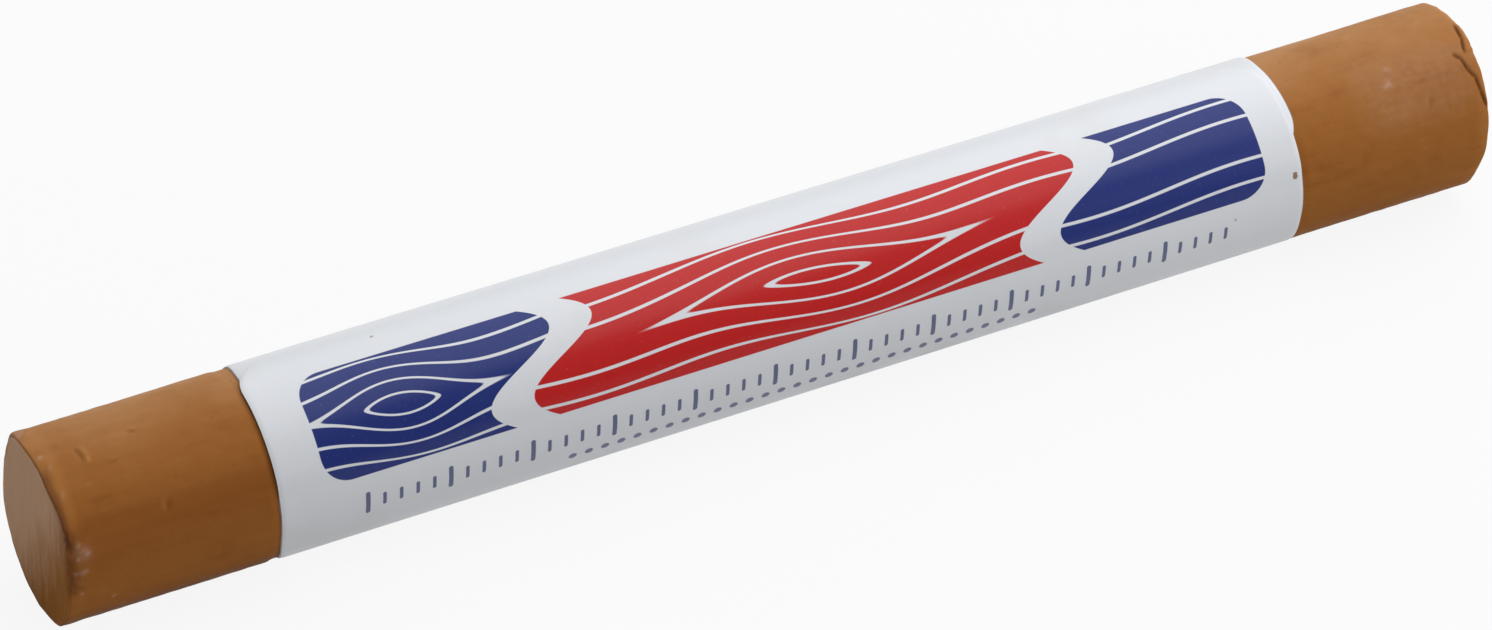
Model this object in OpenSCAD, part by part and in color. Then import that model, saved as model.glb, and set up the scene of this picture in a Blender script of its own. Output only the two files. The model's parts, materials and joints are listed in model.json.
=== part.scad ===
// Furniture repair wax stick: a chopped rod of filler wax with a paper label wound round its middle.
// It lies along X on the plane z = 0, with its near end at -X and its far end at +X.

/* [Wax rod] */
// Diameter of the wax rod
wax_diameter = 10.8; // [9:0.1:14]
// Length of the wax rod along its middle line
wax_length = 89.2; // [75:0.2:110]
// Angle by which the cut at the near end leans from square, in degrees
near_lean = 2.2; // [0:0.1:8]
// Angle by which the cut at the far end leans from square, in degrees
far_lean = 4.4; // [0:0.1:8]
// Direction that both cuts lean towards, in degrees behind straight up
cut_turn = 41; // [0:1:90]
// Width of the eased edge round each end cut
rim_ease = 0.2; // [0.1:0.05:0.8]

/* [Paper label] */
// Length of the label along the rod
label_length = 64.2; // [45:0.2:70]
// Distance of the label's middle from the rod's middle, towards the far end
label_shift = -0.2; // [-2:0.1:2]
// Thickness of the paper
paper_thickness = 0.08; // [0.06:0.01:0.2]
// Width by which the label laps over its own start
lap_width = 7.7; // [4:0.1:12]
// Width of label that climbs onto its own start
climb_width = 1.6; // [0.5:0.1:3]
// Radius of the label's corners
corner_radius = 2.6; // [1:0.1:3.5]
// Place of the label's free edge, in degrees behind straight up
free_edge_turn = 19; // [0:1:60]

/* [Adhesive] */
// Thickness of the adhesive film on the back of the paper
adhesive_thickness = 0.03; // [0.03:0.01:0.06]

/* [Hidden] */
$fn = 96;

wax_radius = wax_diameter / 2;
// One layer of label, paper and adhesive together
ply = paper_thickness + adhesive_thickness;
// Outside of the label where it is a single layer, which is what the stick lies on
label_radius = wax_radius + ply;
axis_height = label_radius;

// Angles round the rod, counted from straight up towards the back
lap_angle = lap_width / label_radius * 180 / PI;
climb_angle = climb_width / label_radius * 180 / PI;
start_angle = free_edge_turn - lap_angle;
corner_angle = asin(corner_radius / label_radius);
// The climb is drawn in straight steps. Its tongues lie a share of a layer inside the layer's faces,
// and end a little inside the label's ends.
climb_steps = 12;
tongue_angle = climb_angle / climb_steps;
tongue_share = 0.25;
tongue_inset = 0.02;

// A round corner of the label is drawn in this many chords
corner_steps = 8;

// Room that the cutting shapes take beyond what they cut
cut_room = wax_radius;
corner_room = climb_width / 2;

wax_colour = [0.66, 0.42, 0.20];
adhesive_colour = [0.80, 0.74, 0.58];
paper_colour = [0.93, 0.93, 0.95];

// Turns what is built along Z, with angles from +X, so that it lies along X with angles from straight up
module lay_along_x() {
    translate([0, 0, axis_height])
        rotate([0, -90, 0])
            children();
}

// What a chopping blade takes off one end, with the edge that handling wears off round the cut.
// Built about Z: the rod is below z = 0 and the waste above it.
module end_waste() {
    rotate_extrude()
        polygon([
            [0, 0],
            [wax_radius - rim_ease, 0],
            [wax_radius + cut_room, -rim_ease - cut_room],
            [wax_radius + 2 * cut_room, -rim_ease - cut_room],
            [wax_radius + 2 * cut_room, 2 * cut_room],
            [0, 2 * cut_room]
        ]);
}

// Sets the waste at an end: side is -1 for the near end and 1 for the far end
module end_cut(side, lean) {
    translate([side * wax_length / 2, 0, axis_height])
        rotate([-cut_turn, 0, 0])
            rotate([0, lean + side * 90, 0])
                end_waste();
}

module wax_stick() {
    color(wax_colour)
        difference() {
            translate([0, 0, axis_height])
                rotate([0, 90, 0])
                    cylinder(r = wax_radius, h = wax_length + 2 * cut_room, center = true);
            end_cut(-1, near_lean);
            end_cut(1, far_lean);
        }
}

// Part of a round layer: from an angle, through a sweep either way, over the label's length
module round_layer(inner_radius, thickness, from_angle, sweep) {
    rotate([0, 0, from_angle])
        rotate_extrude(angle = sweep)
            translate([inner_radius, -label_length / 2])
                square([thickness, label_length]);
}

function at_angle(radius, angle) = [radius * cos(angle), radius * sin(angle)];

// Stretch of a layer that climbs by one ply, up to the label's own start.
// It is thinner and shorter than the layers that it joins, so each of its ends is a tongue inside them.
module climbing_layer(inner_radius, thickness) {
    foot = start_angle - climb_angle + tongue_angle / 2;
    head = start_angle - tongue_angle / 2;
    low = inner_radius + thickness * tongue_share;
    high = inner_radius + thickness * (1 - tongue_share);
    steps = [for (i = [0:climb_steps]) i / climb_steps];
    tips = [foot - 2 * tongue_angle, head + 2 * tongue_angle];
    angles = concat(tips[0], [for (s = steps) foot + (head - foot) * s], tips[1]);
    rises = concat(0, [for (s = steps) ply * s], ply);
    last = len(angles) - 1;
    inside = [for (i = [0:last]) at_angle(low + rises[i], angles[i])];
    outside = [for (i = [last:-1:0]) at_angle(high + rises[i], angles[i])];
    linear_extrude(height = label_length - 2 * tongue_inset, center = true)
        polygon(concat(inside, outside));
}

// Outline of what a round corner takes off, about the corner's centre, for edges that lie
// at corner_radius in X and in Y. The round is drawn in chords, and the first and last chord
// run on past the edges that they cut.
function corner_outline() =
    let (
        chord = 90 / corner_steps,
        reach = 2 * corner_radius - corner_radius * cos(chord),
        side = -corner_radius * sin(chord),
        room = corner_radius + corner_room
    )
    concat(
        [[reach, side]],
        [for (i = [1:corner_steps - 1]) at_angle(corner_radius, i * chord)],
        [[side, reach], [side, room], [room, room], [room, side]]
    );

// Waste of one round corner. The edge is at edge_angle, the label lies on its material_side (1 or -1)
// in angle, and end_side is the end of the label in Z.
module corner_waste(edge_angle, material_side, end_side) {
    rotate([0, 0, edge_angle + material_side * corner_angle])
        translate([0, 0, end_side * (label_length / 2 - corner_radius)])
            rotate([90, 0, 90])
                linear_extrude(height = 2 * label_radius)
                    polygon([for (p = corner_outline()) [-material_side * p[0], end_side * p[1]]]);
}

module without_corners(edge_angle, material_side) {
    difference() {
        children();
        corner_waste(edge_angle, material_side, -1);
        corner_waste(edge_angle, material_side, 1);
    }
}

// A strip of the label's outline wound round the rod: one turn, the climb onto its start, and the lap.
// The turn and the lap are each swept away from the climb, so that they meet it on the same plane.
// inner_gap is how far its inner face stands off what it is wound on.
module wound_strip(inner_gap, thickness) {
    first_radius = wax_radius + inner_gap;
    lay_along_x()
        translate([0, 0, -label_shift]) {
            without_corners(start_angle, 1)
                round_layer(first_radius, thickness, start_angle - climb_angle, climb_angle - 360);
            climbing_layer(first_radius, thickness);
            without_corners(free_edge_turn, -1)
                round_layer(first_radius + ply, thickness, start_angle, lap_angle);
        }
}

module label_adhesive() {
    color(adhesive_colour)
        wound_strip(0, adhesive_thickness);
}

module paper_label() {
    color(paper_colour)
        wound_strip(adhesive_thickness, paper_thickness);
}

wax_stick();
label_adhesive();
paper_label();
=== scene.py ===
# %% [markdown]
# # A furniture repair wax stick
#
# The real thing is a rod of soft brown wax that fills scratches in wood. It was chopped from a longer
# rod, so both ends are rough cuts, and a printed paper label is wound round its middle and lapped over
# itself.
#
# The packed CAD part holds the sizes. This lesson dresses it: each piece is a surface worked out with
# numpy from two parameters, and each finish is a procedural material. Nothing is painted by hand.

# %% Load the packed part
import json
import math

import bpy
import numpy as np
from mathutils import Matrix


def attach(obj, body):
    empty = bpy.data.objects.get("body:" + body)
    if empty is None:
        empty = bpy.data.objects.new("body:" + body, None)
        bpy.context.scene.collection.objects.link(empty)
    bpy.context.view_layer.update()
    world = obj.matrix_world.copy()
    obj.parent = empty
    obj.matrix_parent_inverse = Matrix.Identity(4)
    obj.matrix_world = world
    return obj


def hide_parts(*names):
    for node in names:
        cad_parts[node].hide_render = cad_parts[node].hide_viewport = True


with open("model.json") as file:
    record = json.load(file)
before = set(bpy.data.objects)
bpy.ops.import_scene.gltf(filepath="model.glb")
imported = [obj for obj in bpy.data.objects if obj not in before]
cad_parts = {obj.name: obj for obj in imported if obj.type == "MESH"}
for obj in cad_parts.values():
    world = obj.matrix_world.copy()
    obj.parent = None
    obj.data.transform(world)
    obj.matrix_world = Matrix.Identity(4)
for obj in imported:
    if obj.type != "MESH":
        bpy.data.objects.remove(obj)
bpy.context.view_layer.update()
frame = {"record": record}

# %% [markdown]
# ## Sizes
#
# The record's mounts say where the stick's round barrel and its two cut faces are, to the hundredth of a
# millimetre. The mesh of the CAD part could be measured instead, but its facets would round those
# numbers. So the sizes come from the mounts, and the few that no mount gives are written where they are
# needed. Angles round the stick are counted from straight up towards the back, in degrees.

# %% Sizes in millimetres
MM = 0.001
mounts = {mount["name"]: mount for mount in frame["record"]["mounts"]}


def place_of(name):
    """The mount's point, in millimetres."""
    return np.array(mounts[name]["pos_m"]) / MM


label_middle, _, axis_height = place_of("barrel")
label_length = mounts["barrel"]["dims"]["length_mm"]
# The barrel is measured over the lap, which lies one layer above the layer that touches the floor
layer = mounts["barrel"]["dims"]["r_mm"] - axis_height
wax_radius = axis_height - layer
print(f"wax radius {wax_radius:.2f}, one layer of label {layer:.2f}, label {label_length:.1f} long")

# %% [markdown]
# ## The camera
#
# The photograph was taken from above the near end, with a long lens. The angles and the distance come
# from fitting the stick's two sides and the label's two edges, so the stick falls where it does in the
# photograph. A shorter lens close by would show the near end larger, so the lens and the distance belong
# together.

# %% Camera
CAMERA_AZIMUTH = math.radians(-26.63)
CAMERA_ELEVATION = math.radians(38.31)
# Lengths in millimetres
CAMERA_DISTANCE = 390.8
CAMERA_AIM = np.array([-1.42, -0.21, 5.27])
CAMERA_LENS = 166.62
CAMERA_SENSOR = 36.0
CAMERA_NEAREST = 10.0

towards_camera = np.array([
    math.sin(CAMERA_AZIMUTH) * math.cos(CAMERA_ELEVATION),
    -math.cos(CAMERA_AZIMUTH) * math.cos(CAMERA_ELEVATION),
    math.sin(CAMERA_ELEVATION),
])
camera_data = bpy.data.cameras.new("camera")
camera_data.sensor_width = CAMERA_SENSOR
camera_data.lens = CAMERA_LENS
camera_data.clip_start = CAMERA_NEAREST * MM
camera = bpy.data.objects.new("camera", camera_data)
camera.location = (CAMERA_AIM + CAMERA_DISTANCE * towards_camera) * MM
camera.rotation_euler = (math.pi / 2 - CAMERA_ELEVATION, 0, CAMERA_AZIMUTH)
bpy.context.scene.collection.objects.link(camera)
bpy.context.scene.camera = camera
print("camera at", [round(v, 4) for v in camera.location])

# %% [markdown]
# ## The rod of wax: its plain form
#
# The rod could be a cylinder with bevelled ends, but a blade left its real ends leaning, uneven and worn.
# Here the skin is one grid: rings from the middle of the near cut, over its edge, along the side, and
# over the far edge to the middle of the far cut. The first parameter counts the rings and the second is
# the angle.
#
# The worn edge isn't equally wide all round. Its width is a sum of bells set at angles, and slow waves
# make it waver. Cosines of random length, direction and phase, added up, are smooth everywhere and join
# up round the rod by themselves, and a seed makes them repeatable.

# %% Worn edges
ROUND_STEPS = 320
turn = np.linspace(0, 2 * np.pi, ROUND_STEPS, endpoint=False)
degrees = (np.degrees(turn) + 180) % 360 - 180
sideways = np.sin(turn)
upwards = np.cos(turn)
# Least width of the worn edge, then where it is wider: the angle, the extra width and its spread in degrees
NEAR_WEAR = (0.12, ((68, 0.62, 27),))
FAR_WEAR = (0.08, ((10, 0.35, 25), (150, 0.20, 40)))
WEAR_WAVER = 0.15
MOST_WAVER = 1.5


def waves(*places, seed, count, lengths):
    """Smooth random ripples of about -1 to 1: cosines of random length, direction and phase, added up.
    places are arrays in millimetres, one per direction, and lengths are the shortest and the longest."""
    draw = np.random.default_rng(seed)
    total = np.zeros(np.broadcast_shapes(*(np.shape(p) for p in places)))
    for _ in range(count):
        heading = draw.normal(size=len(places))
        heading /= np.linalg.norm(heading)
        turns = sum(h * p for h, p in zip(heading, places)) / draw.uniform(*lengths)
        total += np.cos(2 * np.pi * (turns + draw.uniform()))
    return total * math.sqrt(2 / count)


def bell(distance, spread):
    """1 at no distance, falling off as exp(-(distance / spread)^2)."""
    return np.exp(-((distance / spread) ** 2))


def angle_from(angle):
    """Angle of each point of a ring from a given angle, the short way round, in degrees."""
    return (degrees - angle + 180) % 360 - 180


def round_rim(places):
    """Bells set round the rod and added up. Each place is an angle, a size and a spread in degrees."""
    return sum(size * bell(angle_from(angle), spread) for angle, size, spread in places)


def worn_width(wear, seed):
    """Width of the worn edge round an end: the least width and its bells, times slow waves."""
    least, places = wear
    waver = waves(wax_radius * sideways, wax_radius * upwards, seed=seed, count=9, lengths=(2.5, 9.0))
    return (least + round_rim(places)) * (1 + WEAR_WAVER * np.clip(waver, -MOST_WAVER, MOST_WAVER))


near_worn = worn_width(NEAR_WEAR, seed=3)
far_worn = worn_width(FAR_WEAR, seed=4)
print(f"widest worn edge: {near_worn.max():.2f} mm at the near end, {far_worn.max():.2f} at the far end")

# %% [markdown]
# The rings crowd together at the edges and the bare ends, where the detail is, and are few under the
# label. Each point also keeps which way the skin faces there, along x and outwards, because every mark
# that is added later moves the point that way.

# %% Rings of the rod
# Rings on each cut, the first at this share of the way out, and rings round each worn edge
DISC_RINGS = 30
FIRST_RING = 0.05
BEND_RINGS = 12
# Share of the length at each end where rings crowd together, and the rings in it and between
CROWDED_SHARE = 0.145
CROWDED_RINGS = 84
COVERED_RINGS = 12
# Powers above 1, which crowd the disc's rings towards its edge and the side's rings towards the ends
DISC_CROWDING = 1.4
SIDE_CROWDING = 1.45


def cut_plane(name, radius):
    """x of the cut at a radius: the plane through the mount's point, square to the mount's axis."""
    axis = mounts[name]["axis"]
    return place_of(name)[0] - radius * (axis[1] * sideways + axis[2] * upwards) / axis[0]


def end_rings(name, outward, worn):
    """Rings of one end from the middle outwards: a disc on the cut's plane, then a quarter round as wide as
    the worn edge. outward is which way along x the end looks. Gives radius, x, and how the skin faces."""
    disc = 1 - (1 - np.linspace(FIRST_RING, 1, DISC_RINGS)[:, None]) ** DISC_CROWDING
    bend = np.radians(np.linspace(0, 90, BEND_RINGS)[1:, None])
    inner = wax_radius - worn
    radius = np.concatenate([disc * inner, inner + worn * np.sin(bend)])
    drop = np.concatenate([np.zeros((DISC_RINGS, ROUND_STEPS)), worn * (1 - np.cos(bend))])
    x = cut_plane(name, np.minimum(radius, inner)) - outward * drop
    faces_x = np.concatenate([np.ones_like(disc), np.cos(bend)]) * outward * np.ones(ROUND_STEPS)
    faces_out = np.concatenate([np.zeros_like(disc), np.sin(bend)]) * np.ones(ROUND_STEPS)
    return radius, x, faces_x, faces_out


near = end_rings("near_end", outward=-1, worn=near_worn)
far = end_rings("far_end", outward=1, worn=far_worn)
crowded = CROWDED_SHARE * np.linspace(0, 1, CROWDED_RINGS)[1:] ** SIDE_CROWDING
covered = np.linspace(CROWDED_SHARE, 1 - CROWDED_SHARE, COVERED_RINGS)[1:-1]
along = np.concatenate([crowded, covered, 1 - crowded[::-1]])[:, None]
side_x = near[1][-1] + along * (far[1][-1] - near[1][-1])
side = (np.full_like(side_x, wax_radius), side_x, np.zeros_like(side_x), np.ones_like(side_x))
ring_radius, ring_x, faces_x, faces_out = (
    np.concatenate([n, s, f[::-1]]) for n, s, f in zip(near, side, far)
)
print(f"{ring_x.shape[0]} rings of {ROUND_STEPS} points")

# %% [markdown]
# ## The rod of wax: what casting, cutting and handling left on it
#
# Each mark is a height over the plain form, worked out for every point at once and moved along the way
# the skin faces. Bump in the material could fake them, but then the rim would stay a perfect ellipse. The
# side has faint lengthwise drag lines, and the blade left streaks down each cut.

# %% Heights from casting and cutting
DRAG_LINES = 0.010
SLOW_WANDER = 0.016
FINE_PITS = 0.0045
CUT_STREAKS = 0.009
# Waves are drawn out this many times along the drag lines, along the wander and down the streaks
DRAG_STRETCH = 9
WANDER_STRETCH = 2
STREAK_STRETCH = 16
# How far the streaks slant from upright, in degrees
NEAR_SLANT = 11
FAR_SLANT = -24

ring_y = ring_radius * sideways
ring_z = ring_radius * upwards
on_cut = np.abs(faces_x)
at_near_end = ring_x < label_middle
drag = waves(ring_x / DRAG_STRETCH, ring_y, ring_z, seed=11, count=26, lengths=(0.9, 3.2))
wander = waves(ring_x / WANDER_STRETCH, ring_y, ring_z, seed=12, count=14, lengths=(5.0, 14.0))
pits = waves(ring_x, ring_y, ring_z, seed=13, count=30, lengths=(0.5, 1.3))
height = faces_out * (DRAG_LINES * drag + SLOW_WANDER * wander) + FINE_PITS * pits


def blade_streaks(slant, seed):
    """Ridges down a cut: waves that are short across the blade's path and long along it."""
    lean = math.radians(slant)
    across = ring_y * math.cos(lean) - ring_z * math.sin(lean)
    down = ring_y * math.sin(lean) + ring_z * math.cos(lean)
    return waves(across, down / STREAK_STRETCH, seed=seed, count=24, lengths=(0.45, 2.2))


near_streaks = blade_streaks(NEAR_SLANT, seed=21)
far_streaks = blade_streaks(FAR_SLANT, seed=22)
height += on_cut * CUT_STREAKS * np.where(at_near_end, near_streaks, far_streaks)
print(f"heights so far from {height.min():.3f} to {height.max():.3f} mm")

# %% [markdown]
# The blade pushed lips of wax out over the edges of both cuts and broke other stretches back. Each lip is
# a bell round the rim, as on the worn edge, and fades out within half a millimetre. At the near end the
# edge behind the lip is rolled, with a crease between the two.

# %% Lips round both cuts
# Where the edge stands out from the cut or is broken back: the angle, the height and its spread in degrees
NEAR_LIP = (
    (10, 0.22, 24), (-24, 0.08, 12), (-52, -0.13, 13), (-74, 0.06, 8),
    (-138, 0.12, 11), (-165, -0.12, 30), (130, -0.035, 25), (78, -0.25, 20),
)
FAR_LIP = (
    (-146, 0.40, 11), (-114, -0.19, 12), (-74, 0.09, 13), (-28, -0.09, 9), (-5, 0.12, 45),
)
LIP_WIDTH = 0.40
# The roll and the crease: how far behind the edge they lie, how wide they are and how high or deep
ROLL_GAP, ROLL_WIDTH, ROLL_HEIGHT = 0.55, 0.40, 0.05
CREASE_GAP, CREASE_WIDTH, CREASE_DEPTH = 0.12, 0.22, 0.03
ROLL_LEAST = 0.5
ROLL_MORE = ((-24, 0.5, 40),)
CREASE_TURNS = (-60, -22)
CREASE_FADE = 10


def soft_step(value, low, high):
    """0 below low, 1 above high, and the curve 3t^2 - 2t^3 between them."""
    t = np.clip((value - low) / (high - low), 0, 1)
    return t * t * (3 - 2 * t)


def window(value, low, high, fade):
    """1 between low and high, falling to 0 over the fade outside them."""
    return soft_step(value, low - fade, low) * (1 - soft_step(value, high, high + fade))


from_rim = wax_radius - ring_radius
near_gap = np.clip(ring_x - cut_plane("near_end", wax_radius), 0, None)
far_gap = np.clip(cut_plane("far_end", wax_radius) - ring_x, 0, None)
edge_gap = from_rim + faces_out * np.where(at_near_end, near_gap, far_gap)
lip = np.where(at_near_end, round_rim(NEAR_LIP), round_rim(FAR_LIP)) * bell(edge_gap, LIP_WIDTH)
roll = faces_out * bell(near_gap - ROLL_GAP, ROLL_WIDTH) * (ROLL_LEAST + round_rim(ROLL_MORE))
creased = at_near_end * window(degrees, *CREASE_TURNS, CREASE_FADE)
crease = creased * bell(edge_gap - CREASE_GAP, CREASE_WIDTH)
height += ROLL_HEIGHT * roll - CREASE_DEPTH * crease
print(f"lips from {lip.min():.3f} to {lip.max():.3f} mm over the cuts")

# %% [markdown]
# A nick is a short scratch with a little wax pushed up beside it. Nicks could be sculpted, but a line of
# numbers is easier to move: the x, angle, length, width, slant and depth of each. The ones that the
# photograph shows are written out, and the sides that it doesn't show get a few drawn at random.

# %% Nicks
# x, angle, length, width, slant from the rod's length in degrees, depth
SEEN_NICKS = (
    (-42.12, -12.6, 0.95, 0.24, -78, 0.050),
    (-38.92, -7.6, 0.45, 0.18, -15, 0.040),
    (-38.50, -57.5, 0.60, 0.26, 80, 0.045),
    (-40.60, -24.0, 0.50, 0.20, 8, 0.025),
    (-36.20, -70.0, 0.70, 0.20, 5, 0.020),
    (41.00, -52.0, 0.90, 0.34, 70, 0.030),
    (37.60, -88.0, 0.50, 0.22, 12, 0.025),
)
HIDDEN_NICKS = 26
# Ranges of the same six, where x is its distance from the middle
HIDDEN_RANGES = ((33.2, 44.0), (60, 205), (0.35, 1.5), (0.2, 0.36), (-80, 80), (0.02, 0.05))
# Depth at which a nick would be fully dark
DARKEST_NICK = 0.085
# The pushed-up wax: its width and its shift in widths of the nick, and its height in depths of the nick
PUSHED_WIDTH, PUSHED_SHIFT, PUSHED_HEIGHT = 1.3, 0.95, 1.1


def round_distance(angle):
    """Distance round the rod from an angle, in millimetres, the short way."""
    return wax_radius * np.radians(angle_from(angle))


def stroke(x, angle, length, width, slant, shift=0.0):
    """A soft streak on the side: 1 on its middle line, a bell across it, and a steep fall at its ends."""
    lean = math.radians(slant)
    run = (ring_x - x) * math.cos(lean) + round_distance(angle) * math.sin(lean)
    off = round_distance(angle) * math.cos(lean) - (ring_x - x) * math.sin(lean) - shift
    return faces_out * np.exp(-((2 * run / length) ** 4) - (2 * off / width) ** 2)


nick_draw = np.random.default_rng(seed=41)
which_end = nick_draw.choice([-1, 1], HIDDEN_NICKS)
from_middle, *others = (nick_draw.uniform(low, high, HIDDEN_NICKS) for low, high in HIDDEN_RANGES)
hidden_nicks = zip(which_end * from_middle, *others)
nick_shade = np.zeros_like(height)
# Painted highlight where wax is pushed up beside a nick
raised_highlight = np.zeros_like(height)
for x, angle, length, width, slant, depth in (*SEEN_NICKS, *hidden_nicks):
    hollow = stroke(x, angle, length, width, slant)
    pushed_up = stroke(x, angle, length, PUSHED_WIDTH * width, slant, shift=PUSHED_SHIFT * width)
    height += depth * (PUSHED_HEIGHT * pushed_up - hollow)
    nick_shade = np.maximum(nick_shade, hollow * depth / DARKEST_NICK)
    raised_highlight = np.maximum(raised_highlight, pushed_up * (depth / DARKEST_NICK) ** 2)
print(f"{len(SEEN_NICKS)} nicks that the photograph shows and {HIDDEN_NICKS} more")

# %% [markdown]
# At the near end a piece of the edge has crumbled away on the side that faces the camera, and pale crumbs
# stick to the skin round it. A crumb is the same soft stroke as a nick, but broad and raised.

# %% The crumbled edge and its crumbs
CRUMBLED_TURNS = (-93, -62)
CRUMBLED_FADE = 8
CRUMBLED_WIDTH = 0.60
CRUMBLED_DEPTH = 0.20
CRUMBLED_ROUGH = 0.06
# x, angle, length, width, slant, height, paleness
CRUMBS = (
    (-43.73, -70.4, 0.95, 0.80, 20, 0.02, 0.42),
    (-44.07, -72.7, 0.24, 0.18, 30, 0.05, 0.85),
    (-43.49, -70.7, 0.28, 0.20, -20, 0.05, 0.80),
    (-43.94, -65.0, 0.34, 0.26, 40, 0.05, 0.50),
    (-43.90, -81.7, 0.60, 0.32, 10, 0.04, 0.50),
    (-44.26, -82.2, 0.26, 0.20, -30, 0.04, 0.62),
    (-44.07, -96.7, 0.22, 0.18, 40, 0.03, 0.55),
    (-42.21, -107, 0.24, 0.18, 0, 0.03, 0.60),
    (-44.15, -7, 0.34, 0.24, 60, 0.04, 0.42),
    (-43.97, -16, 0.50, 0.20, 70, 0.03, 0.12),
    (-43.99, -35, 0.60, 0.30, 65, 0.03, 0.10),
    (-42.39, -33, 0.28, 0.20, 20, 0.02, 0.08),
    (-41.86, -17.6, 0.42, 0.26, -70, 0.07, 0.00),
    (38.70, -34, 0.70, 0.50, 20, 0.01, 0.40),
    (39.20, -24, 0.50, 0.34, -30, 0.01, 0.30),
)
HIGHEST_CRUMB = 0.07

crumble = window(degrees, *CRUMBLED_TURNS, CRUMBLED_FADE) * bell(edge_gap, CRUMBLED_WIDTH) * at_near_end
crumble_waves = waves(ring_x, ring_y, ring_z, seed=51, count=30, lengths=(0.35, 0.9))
height -= crumble * (CRUMBLED_DEPTH + CRUMBLED_ROUGH * crumble_waves)
pale = np.zeros_like(height)
for x, angle, length, width, slant, rise, paleness in CRUMBS:
    crumb = stroke(x, angle, length, width, slant)
    height += rise * crumb
    pale = np.maximum(pale, paleness * crumb)
    # Crumbs that aren't pale get a painted highlight where they stand up
    raised_highlight = np.maximum(raised_highlight, crumb * (1 - paleness) * (rise / HIGHEST_CRUMB) ** 2)
print(f"{len(CRUMBS)} crumbs, the edge crumbled {-height.min():.3f} mm deep")

# %% [markdown]
# At the far end the blade smeared a thin flap of wax over the edge, and the flap has cracked loose along
# two lines. A crack is a chain of strokes, and the flap is everything between the crack and the end,
# raised by a little.

# %% The cracked flap
CRACK_WIDTH = 0.16
CRACK_DEPTH = 0.08
# Each stroke of a crack is longer than its stretch by this factor, so that the strokes run into each other
CRACK_OVERLAP = 1.25
FLAP_RISE = 0.055
FLAP_EDGE = (0.02, 0.14)
FLAP_FADE = 3
# Each crack is a chain of places: x and angle
CRACKS = (
    ((44.52, -8), (44.44, -18), (44.22, -27)),
    ((43.50, -27.5), (43.80, -31.5), (43.92, -39), (44.22, -45), (44.27, -54), (44.40, -64)),
)

crack_shade = np.zeros_like(height)
for crack in CRACKS:
    for (x0, angle0), (x1, angle1) in zip(crack[:-1], crack[1:]):
        climb = wax_radius * math.radians(angle1 - angle0)
        length = CRACK_OVERLAP * math.hypot(x1 - x0, climb)
        slant = math.degrees(math.atan2(climb, x1 - x0))
        split = stroke((x0 + x1) / 2, (angle0 + angle1) / 2, length, CRACK_WIDTH, slant)
        crack_shade = np.maximum(crack_shade, split)
    crack_x, crack_angle = (np.array(values) for values in zip(*crack))
    beyond = soft_step(ring_x - np.interp(-degrees, -crack_angle, crack_x), *FLAP_EDGE)
    height += FLAP_RISE * beyond * window(degrees, crack_angle[-1], crack_angle[0], FLAP_FADE)
height -= CRACK_DEPTH * crack_shade
print(f"{len(CRACKS)} cracks, {CRACK_DEPTH} mm deep")

# %% [markdown]
# ## The rod of wax: its skin
#
# Under the label the wax is squeezed smooth, so the marks fade out there and stay just below the
# adhesive. The bare ends stand a little proud of the squeezed part, and the far one has sagged. The stick
# lies on the floor, so a height that would reach through it is cut back to the floor.

# %% The wax skin
SQUEEZE = 0.012
BARE_FADE = (0.05, 0.45)
BARE_SWELL = 0.05
FAR_SAG = 0.07
FLOOR_GAP = 0.01
LEAST_DOWN = 0.1

label_gap = np.abs(ring_x - label_middle) - label_length / 2
bare = soft_step(label_gap, *BARE_FADE)
swell = faces_out * (BARE_SWELL - np.where(at_near_end, 0, FAR_SAG) * upwards)
height = (height + swell) * bare - SQUEEZE * (1 - bare) * faces_out
# Distance from the middle line to the floor at each angle; points that face up have no floor under them
floor_distance = (axis_height - FLOOR_GAP) / np.clip(-upwards, LEAST_DOWN, None)
height = np.where(faces_out > 0, np.minimum(height, floor_distance - ring_radius), height)
skin_radius = ring_radius + faces_out * height
skin_x = ring_x + faces_x * height + np.where(at_near_end, -lip, lip)
skin = np.stack([skin_x, skin_radius * sideways, axis_height + skin_radius * upwards], axis=-1)
print(f"heights in the end from {height.min():.3f} to {height.max():.3f} mm")

# %% [markdown]
# The material has to know where the cuts, creases, stains and painted light are, so masks from 0 to 1 are
# worked out here and go onto the mesh as attributes. The upper side gets a painted sheen, and the underside
# a painted shadow where it lies on the floor. The near end is painted darker where it faces the camera, as
# shade below the sheen, and the blade smeared some of the near cut over its edge. Wax also sweats a pale
# bloom where it was broken or rubbed. All this could be painted on an image, but a mask that is worked out
# follows the marks exactly.

# %% Stains and painted light on the wax
# Painted sheen: the upper side of each end is painted paler where it would shine in the light from above
# How much there is at the near and at the far end, and the angles over which it sets in
NEAR_SHEEN, NEAR_SHEEN_TURNS = 0.33, (-45, 35)
FAR_SHEEN, FAR_SHEEN_TURNS = 0.47, (-60, 45)
SHEEN_ENDS = (60, 140)
# Painted shadow on the underside, where the stick lies on the floor, strong at the near end
NEAR_UNDERSIDE_SHADE, FAR_UNDERSIDE_SHADE, UNDERSIDE_SHADE_TURNS = 0.50, 0.05, (114, 132)
# Where the near end's band of painted shade sets in and where it ends, just below the painted sheen
DEEP_STARTS, DEEP_ENDS = (-98, -66), (-57, -43)
# The smear's width behind the edge, the angles where it is that wide, and the softness of its border
SMEAR_WIDTH, SMEAR_TURNS, SMEAR_FADE, SMEAR_BORDER = 0.95, (34, 70), 30, (-0.35, 0.05)
# Haze of bloom on the far end: its angles and x, each with the fade round them
HAZE_TURNS, HAZE_TURN_FADE = (-50, -28), 22
HAZE_X, HAZE_X_FADE = (38.5, 42.5), 3.0

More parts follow.
